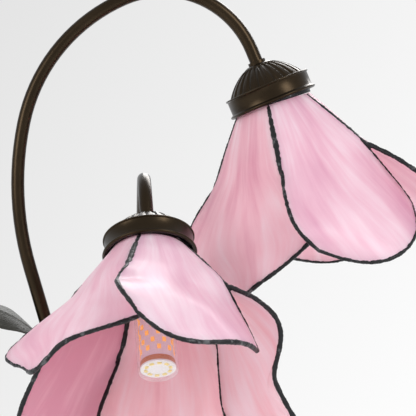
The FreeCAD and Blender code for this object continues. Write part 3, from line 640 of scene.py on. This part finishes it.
# ---- pieces ----
def petal(light, index, finishes):
    """One bent petal: a grid on the petal's surface, given its thickness."""
    form = Petal(light, index)
    seed = Vector((7.3 * index + (40.0 if light == "lower" else 0.0), 0, 0))

    def spot(u, v):
        across = EDGE + (1 - 2 * EDGE) * u
        distance = NECK_AT + (form.reach(across) - NECK_AT) * v
        point, _, _, normal = form.spot(across, distance)
        swell = noise.noise(Vector((u * 3.1, v * 4.2, 0)) + seed)
        return point + normal * (swell * 0.35 * MM * min(1.0, 6 * v))

    piece = mapped_grid("%s_petal_glass_%d" % (light, index + 1), 32, 52, spot)
    tone, warmth = TINTS[light][index]
    tones = piece.data.attributes.new("tone", "FLOAT", "POINT")
    warmths = piece.data.attributes.new("warmth", "FLOAT", "POINT")
    corners = piece.data.uv_layers.active.data
    for loop in piece.data.loops:
        u, v = corners[loop.index].uv
        tones.data[loop.vertex_index].value = tone
        warmths.data[loop.vertex_index].value = warmth
        corners[loop.index].uv = (u + seed.x, v)
    # the inner faces and rims take the second finish, the glass with painted bounced light
    modified(piece, "SOLIDIFY", thickness=GLASS * MM, offset=0.0, use_quality_normals=True,
             material_offset=1, material_offset_rim=1)
    smoothed(piece, 40.0)
    return dressed(piece, (finishes["petal_glass"], finishes["petal_glass_inside_painted_bounce"]), light + "_shade",
                   "petal_glass", "%s_petal_%d" % (light, index + 1))


def bead(name, spots, widths, depth, seed):
    """A closed lumpy rod of solder along spots of (point, sideways, normal)."""
    last = len(spots) - 1
    lumps = sizes().lumps

    def place(u, v):
        position = u * last
        i = min(int(position), last - 1)
        share = position - i
        point, sideways, normal = (a.lerp(b, share) for a, b in zip(spots[i], spots[i + 1]))
        width = widths[i] * (1 - share) + widths[i + 1] * share
        end = min(position, last - position) / 1.2
        cap = math.sqrt(max(1 - (1 - min(end, 1.0)) ** 2, 0.0))
        angle = 2 * math.pi * v
        lump = 1 + lumps * noise.noise(point / (4.5 * MM) + Vector((seed, 0, 0)))
        lump += 0.5 * lumps * noise.noise(point / (2.2 * MM) + Vector((0, seed, 0)))
        around = sideways * (math.cos(angle) * width) + normal * (math.sin(angle) * depth)
        return point + around * (lump * cap)

    return welded(mapped_grid(name, 2 * last, 12, place))


def free_edge(form):
    """Spots round a petal's free edge: up its outer edge, along its rim and down its inner edge."""
    start = SEAM_END - EDGE_LAP
    sides = []
    for across in (EDGE, 1 - EDGE):
        end = form.reach(across)
        sides.append([(across, start + (end - start) * i / SIDE_STEPS) for i in range(SIDE_STEPS)])
    rim = [EDGE + (1 - 2 * EDGE) * (i / RIM_STEPS) ** RIM_CROWDING for i in range(RIM_STEPS + 1)]
    path = sides[0] + [(across, form.reach(across)) for across in rim] + sides[1][::-1]
    found = [form.spot(*place) for place in path]
    spots = []
    for i, (point, _, _, normal) in enumerate(found):
        tangent = found[min(i + 1, len(found) - 1)][0] - found[max(i - 1, 0)][0]
        spots.append((point, tangent.cross(normal).normalized(), normal))
    return spots


def solder_lines(light, finishes):
    """All the solder of a shade as one lumpy piece: seams, free edges and rims."""
    size = sizes()
    forms = [Petal(light, index) for index in range(PETALS)]
    rods = []
    for index, form in enumerate(forms):
        before = forms[index - 1]
        spots = free_edge(form)
        rods.append(bead("edge", spots, [size.bead] * len(spots), size.bead_depth, 3.7 * index))
        seam = []
        widths = []
        for i in range(SEAM_STEPS + 1):
            distance = NECK_AT + (SEAM_END + SEAM_OVER - NECK_AT) * i / SEAM_STEPS
            near, _, beside, normal = form.spot(EDGE, distance)
            far, _, beside_far, normal_far = before.spot(1 - EDGE, distance)
            seam.append(((near + far) / 2, (beside + beside_far).normalized(),
                         (normal + normal_far).normalized()))
            widths.append(size.seam * (0.72 + 0.34 * math.sin(math.pi * i / SEAM_STEPS * 0.8) ** 2))
        rods.append(bead("seam", seam, widths, size.bead_depth * 1.08, 3.7 * index + 5))
    piece = joined(light + "_solder", rods)
    modified(piece, "REMESH", mode="VOXEL", voxel_size=size.voxel, adaptivity=0.0)
    normals = [vertex.normal.copy() for vertex in piece.data.vertices]
    for vertex, normal in zip(piece.data.vertices, normals):
        rough = noise.noise(vertex.co / (1.7 * MM)) + 0.6 * noise.noise(vertex.co / (0.9 * MM))
        vertex.co += normal * (RIPPLE * MM * rough)
    smoothed(piece)
    return dressed(piece, (finishes["solder"],), light + "_shade", "solder", light + "_leading")


def holder_dome(light, finishes):
    """The fluted dome of a shade holder: round grooves run up it from the band nearly to its seat."""
    place = HOLDERS[light]
    flutes = sizes().flutes
    chord_r, chord_z = DOME_TOP_R - DOME_R, DOME
    arc_r = ((chord_r ** 2 + chord_z ** 2) / 4 + DOME_BULGE ** 2) / (2 * DOME_BULGE)
    length = math.hypot(chord_r, chord_z)
    centre_r = (DOME_R + DOME_TOP_R) / 2 + (DOME_BULGE - arc_r) * chord_z / length
    centre_z = DOME / 2 - (DOME_BULGE - arc_r) * chord_r / length
    foot_angle = math.atan2(-centre_z, DOME_R - centre_r)
    top_angle = math.atan2(DOME - centre_z, DOME_TOP_R - centre_r)
    pitch = 2 * math.pi / flutes

    def spot(u, v):
        turn = 2 * math.pi * u
        rise = min(v / 0.9, 1.0)
        angle = foot_angle + (top_angle - foot_angle) * rise
        radius = centre_r + arc_r * math.cos(angle)
        aside = abs((turn + pitch / 2) % pitch - pitch / 2) * radius
        groove = math.sqrt(max(FLUTE_R ** 2 - aside ** 2, 0.0)) - (FLUTE_R - FLUTE_DEPTH)
        groove = max(groove, 0.0) * min(max((FLUTE_END - rise) / 0.06, 0.0), 1.0)
        height = centre_z + arc_r * math.sin(angle) - groove * math.sin(angle)
        radius -= groove * math.cos(angle)
        if v > 0.9:
            radius += (DOME_BORE_R - radius) * (v - 0.9) / 0.1
        return place.turned(radius * MM, turn, -(BAND + height) * MM)

    piece = mapped_grid(light + "_fluted_dome", flutes * 20, 40, spot)
    welded(piece)
    modified(piece, "SOLIDIFY", thickness=DOME_WALL * MM, offset=-1.0, use_quality_normals=True)
    edited(piece, lambda: bpy.ops.mesh.normals_make_consistent(inside=False))
    smoothed(piece, 50.0)
    return dressed(piece, (finishes["bronze"],), "stand", "bronze", light + "_holder_dome")


def holder_band(light, finishes):
    """The smooth band of a shade holder between its two rolled lips."""
    inner = BAND_R - BAND_WALL
    profile = [(SHELF_R, -BAND), (UPPER_LIP_R - UPPER_LIP_ROUND + 0.05, -BAND)]
    profile += [(UPPER_LIP_R + UPPER_LIP_ROUND * (math.cos(a) - 1),
                 UPPER_LIP_ROUND * (1 + math.sin(a)) - BAND)
                for a in (math.radians(d) for d in (-60, -30, 0, 30, 60, 90))]
    profile += [(BAND_R + 0.15, -BAND + 1.55), (BAND_R, -BAND + 1.9), (BAND_R, -3.2), (BAND_R + 0.2, -2.8)]
    profile += [(LIP_R + LIP_ROUND * (math.cos(a) - 1), LIP_ROUND * math.sin(a) - 1.2)
                for a in (math.radians(d) for d in (-75, -50, -25, 0, 25, 50, 75))]
    profile += [(LIP_R - 0.9, 0.0), (inner + 0.3, 0.0), (inner, -0.3), (inner, -BAND + 1.5),
                (SHELF_R, -BAND + 1.5)]
    piece = turned(light + "_rolled_band", HOLDERS[light], profile, 128)
    smoothed(piece, 50.0)
    return dressed(piece, (finishes["bronze"],), "stand", "bronze", light + "_holder_band")


def arm_leaf(arm, finishes):
    """A bronze leaf, folded along its midrib and waved at its edges, on a clip round its stem."""
    foot, axis, outward = (Vector(v) for v in LEAVES[arm])
    axis.normalize()
    outward.normalize()
    sideways = axis.cross(outward).normalized()
    bend_r = LEAF_LENGTH / math.radians(LEAF_DROOP)
    rise = math.radians(LEAF_RISE)
    up = Vector((0, 0, 1))
    start = foot + outward * (CLIP_R - 1.5)

    def spot(u, v):
        angle = math.radians(LEAF_DROOP) * v
        middle = (start + outward * (bend_r * (math.sin(rise) - math.sin(rise - angle)))
                  + up * (bend_r * (math.cos(rise - angle) - math.cos(rise))))
        along = outward * math.cos(rise - angle) + up * math.sin(rise - angle)
        under = sideways.cross(along)
        roll = math.radians(LEAF_ROLL) * math.sin(math.pi * min(v * 1.6, 1.0) / 2)
        side = sideways * math.cos(roll) + under * math.sin(roll)
        below = under * math.cos(roll) - sideways * math.sin(roll)
        across = 2 * u - 1
        half = max(LEAF_FOOT * (1 - v) + LEAF_HALF * math.sin(math.pi * v ** 0.85), 0.3)
        wave = 1.1 * math.sin(21 * v + 2 * across) * across * across * math.sin(math.pi * v)
        midrib = -0.7 * math.exp(-(across / 0.09) ** 2) * (1 - v)
        drop = LEAF_FOLD * across * across * math.sin(math.pi * v) + wave + midrib
        return (middle + side * (half * across) + below * drop) * MM

    blade = mapped_grid(arm + "_leaf", 40, 72, spot)
    modified(blade, "SOLIDIFY", thickness=1.4 * MM, offset=0.0, use_quality_normals=True)
    edited(blade, lambda: bpy.ops.mesh.normals_make_consistent(inside=False))
    smoothed(blade, 50.0)
    dressed(blade, (finishes["leaf_bronze"],), "stand", "leaf_bronze", arm + "_arm_leaf")
    stem = Place(foot * MM, sideways, axis.cross(sideways), axis)
    half = CLIP / 2
    clip = turned(arm + "_leaf_clip", stem,
                  ((STEM_R + 0.05, -half), (CLIP_R - 0.4, -half), (CLIP_R, 0.4 - half), (CLIP_R, half - 0.4),
                   (CLIP_R - 0.4, half), (STEM_R + 0.05, half)), 48)
    smoothed(clip, 35.0)
    return dressed(clip, (finishes["bronze"],), "stand", "leaf_bronze")


def lamp_end(light, finishes):
    """The LED lamp's end: a copper-brown ring and a circle of chips that sit on its white disc."""
    place = HOLDERS[light]
    body = light + "_lamp"
    ring = turned(light + "_lamp_end_ring", place,
                  ((END_RING_INNER_R, END_RING_FROM), (END_RING_R - 0.15, END_RING_FROM),
                   (END_RING_R, END_RING_FROM + 0.5), (END_RING_R, END_RING_TO - 0.4),
                   (END_RING_R - 0.15, END_RING_TO), (END_RING_INNER_R, END_RING_TO)), 64)
    smoothed(ring, 35.0)
    dressed(ring, (finishes["end_ring"],), body, "led_board")
    chips = []
    for number in range(END_CHIPS):
        angle = 2 * math.pi * (number + 0.25) / END_CHIPS
        bpy.ops.object.select_all(action="DESELECT")
        bpy.ops.mesh.primitive_cube_add(size=1.0)
        chip = bpy.context.object
        for vertex in chip.data.vertices:
            x, y, z = vertex.co
            radius = (8.9 + y * 2.4) * MM
            aside = x * 3.2 * MM
            vertex.co = place.point(radius * math.sin(angle) + aside * math.cos(angle),
                                    radius * math.cos(angle) - aside * math.sin(angle),
                                    (END_CHIP_AT + END_CHIP * z) * MM)
        chips.append(modified(chip, "BEVEL", width=0.18 * MM, segments=2))
    piece = joined(light + "_lamp_end_chips", chips)
    edited(piece, lambda: bpy.ops.mesh.normals_make_consistent(inside=False))
    smoothed(piece, 35.0)
    return dressed(piece, (finishes["end_chip"],), body, "led_chip")


# ---- operators ----
class LampOperator:
    bl_options = {"REGISTER", "UNDO"}


class LAMP_OT_glass(LampOperator, bpy.types.Operator):
    """Bends the ten streaky glass petals"""
    bl_idname = "lamp.glass"
    bl_label = "Glass Petals"

    def execute(self, context):
        finishes = FINISHES
        for light in LIGHTS:
            for index in range(PETALS):
                petal(light, index, finishes)
        return {"FINISHED"}


class LAMP_OT_solder(LampOperator, bpy.types.Operator):
    """Runs the lumpy solder along seams, edges and rims"""
    bl_idname = "lamp.solder"
    bl_label = "Solder Lines"

    def execute(self, context):
        for light in LIGHTS:
            solder_lines(light, FINISHES)
        return {"FINISHED"}


class LAMP_OT_holders(LampOperator, bpy.types.Operator):
    """Makes the fluted domes and rolled bands of the shade holders"""
    bl_idname = "lamp.holders"
    bl_label = "Shade Holders"

    def execute(self, context):
        for light in LIGHTS:
            holder_dome(light, FINISHES)
            holder_band(light, FINISHES)
        return {"FINISHED"}


class LAMP_OT_leaves(LampOperator, bpy.types.Operator):
    """Shapes the two bronze leaves and their clips"""
    bl_idname = "lamp.leaves"
    bl_label = "Leaves"

    def execute(self, context):
        for arm in LEAVES:
            arm_leaf(arm, FINISHES)
        return {"FINISHED"}


class LAMP_OT_lamps(LampOperator, bpy.types.Operator):
    """Adds the ends of the two LED lamps"""
    bl_idname = "lamp.lamps"
    bl_label = "LED Lamps"

    def execute(self, context):
        for light in LIGHTS:
            lamp_end(light, FINISHES)
        return {"FINISHED"}


class LAMP_OT_finishes(LampOperator, bpy.types.Operator):
    """Makes the finishes and gives each carried-over part its own"""
    bl_idname = "lamp.finishes"
    bl_label = "Finishes"

    def execute(self, context):
        FINISHES.update(all_finishes())
        for name, node in frame["nodes"].items():
            finish = FINISHES[slot_of(name)]
            node.data.materials.clear()
            node.data.materials.append(finish)
        return {"FINISHED"}


class LAMP_OT_stage(LampOperator, bpy.types.Operator):
    """Sets the pale stage, the soft lights and the camera"""
    bl_idname = "lamp.stage"
    bl_label = "Stage"

    def execute(self, context):
        stage_floor()
        lights()
        camera()
        return {"FINISHED"}


class LAMP_PT_panel(bpy.types.Panel):
    """The lamp's steps and settings"""
    bl_label = "Lily Lamp"
    bl_idname = "LAMP_PT_panel"
    bl_space_type = "VIEW_3D"
    bl_region_type = "UI"
    bl_category = "Lily Lamp"

    def draw(self, context):
        column = self.layout.column()
        for group in (context.scene.lamp_sizes, context.scene.lamp_colours):
            for key in group.__annotations__:
                column.prop(group, key)
        for operator in STEPS:
            column.operator(operator.bl_idname)


FINISHES = {}

# the finish of each carried-over part, by the end of its name
SLOTS = {
    "base_felt_pad": "felt", "base_ballast": "iron", "base_cover": "bronze", "cable_gland": "rubber",
    "stem_hub": "bronze", "tie_washer": "zinc_steel", "tie_bolt": "zinc_steel",
    "terminal_block": "white_plastic", "arm_tube": "bronze", "arm_wire": "wire_sleeve",
    "arm_leaf": "leaf_bronze", "nipple": "brass", "arm_collar": "bronze", "holder_dome": "bronze",
    "holder_band": "bronze", "nipple_nut": "zinc_steel", "lampholder": "black_plastic",
    "screw_shell": "brass", "centre_contact": "brass", "ring_nut": "black_plastic",
    "lamp_cap": "lamp_cap_metal", "lamp_neck": "white_plastic", "lamp_core": "led_board",
    "lamp_leds": "led_chip", "lamp_end_disc": "end_disc", "lamp_cover": "clear_cover",
    "shade_collar": "solder", "leading": "solder",
}


def slot_of(node):
    for ending, finish in SLOTS.items():
        if node.endswith(ending):
            return finish
    return "petal_glass"


def stage_floor():
    bpy.ops.object.select_all(action="DESELECT")
    bpy.ops.mesh.primitive_plane_add(size=FLOOR_SIZE, location=(0, 0, 0))
    floor = bpy.context.object
    floor.name = "stage"
    f = Finish("stage")
    grain = f.noise(f.place(), 3.0, 2.0)
    tone = f.mix(grain, (0.925, 0.93, 0.935), (0.95, 0.955, 0.96))
    floor.data.materials.append(f.done(f.principled(Base_Color=tone, Roughness=0.8)))


def area_light(name, place, target, size, power):
    bpy.ops.object.light_add(type="AREA", location=place)
    light = bpy.context.object
    light.name = name
    light.data.shape = "RECTANGLE"
    light.data.size, light.data.size_y = size
    light.data.energy = power
    aim = Vector(target) - Vector(place)
    light.rotation_euler = aim.to_track_quat("-Z", "Y").to_euler()


def lights():
    """A pale world whose visible side brightens to the right and downwards, and three soft lamps."""
    world = bpy.data.worlds.new("studio")
    bpy.context.scene.world = world
    world.use_nodes = True
    nodes, links = world.node_tree.nodes, world.node_tree.links
    around = nodes["Background"]
    around.inputs["Color"].default_value = (0.95, 0.97, 1.0, 1.0)
    around.inputs["Strength"].default_value = WORLD_LIGHT
    seen = nodes.new("ShaderNodeBackground")
    seen.inputs["Color"].default_value = (1.0, 1.0, 1.0, 1.0)
    direction = nodes.new("ShaderNodeTexCoord")
    slope = nodes.new("ShaderNodeVectorMath")
    slope.operation = "DOT_PRODUCT"
    slope.inputs[1].default_value = WORLD_SLOPE
    level = nodes.new("ShaderNodeMath")
    level.operation = "ADD"
    level.use_clamp = True
    level.inputs[1].default_value = WORLD_SEEN
    path = nodes.new("ShaderNodeLightPath")
    choice = nodes.new("ShaderNodeMixShader")
    links.new(direction.outputs["Generated"], slope.inputs[0])
    links.new(slope.outputs["Value"], level.inputs[0])
    links.new(level.outputs[0], seen.inputs["Strength"])
    links.new(path.outputs["Is Camera Ray"], choice.inputs["Fac"])
    links.new(around.outputs[0], choice.inputs[1])
    links.new(seen.outputs[0], choice.inputs[2])
    links.new(choice.outputs[0], nodes["World Output"].inputs["Surface"])
    area_light("key", (1.5, -1.5, 1.5), (0, 0, 0.35), (0.8, 1.5), 24.0)
    area_light("fill", (-1.6, -1.2, 0.9), (0, 0, 0.35), (1.0, 1.0), 15.0)
    area_light("back", (0.4, 1.4, 1.3), (0, 0, 0.35), (1.2, 0.8), 16.0)


def camera():
    bpy.ops.object.camera_add(location=(0.049, -2.0, 0.3793), rotation=(math.radians(90), 0, 0))
    shot = bpy.context.object
    shot.data.sensor_width = 36.0
    shot.data.lens = 36.0 * 2640 / 416
    bpy.context.scene.camera = shot


STEPS = (LAMP_OT_finishes, LAMP_OT_glass, LAMP_OT_solder, LAMP_OT_holders, LAMP_OT_leaves,
         LAMP_OT_lamps, LAMP_OT_stage)
CLASSES = (LampSizes, LampColours) + STEPS + (LAMP_PT_panel,)


def register():
    for made in CLASSES:
        bpy.utils.register_class(made)
    bpy.types.Scene.lamp_sizes = PointerProperty(type=LampSizes)
    bpy.types.Scene.lamp_colours = PointerProperty(type=LampColours)


def unregister():
    del bpy.types.Scene.lamp_sizes
    del bpy.types.Scene.lamp_colours
    for made in reversed(CLASSES):
        bpy.utils.unregister_class(made)


def main():
    register()
    bpy.context.scene.view_settings.view_transform = "Standard"
    for step in STEPS:
        group, name = step.bl_idname.split(".")
        getattr(getattr(bpy.ops, group), name)()


if __name__ == "__main__":
    main()
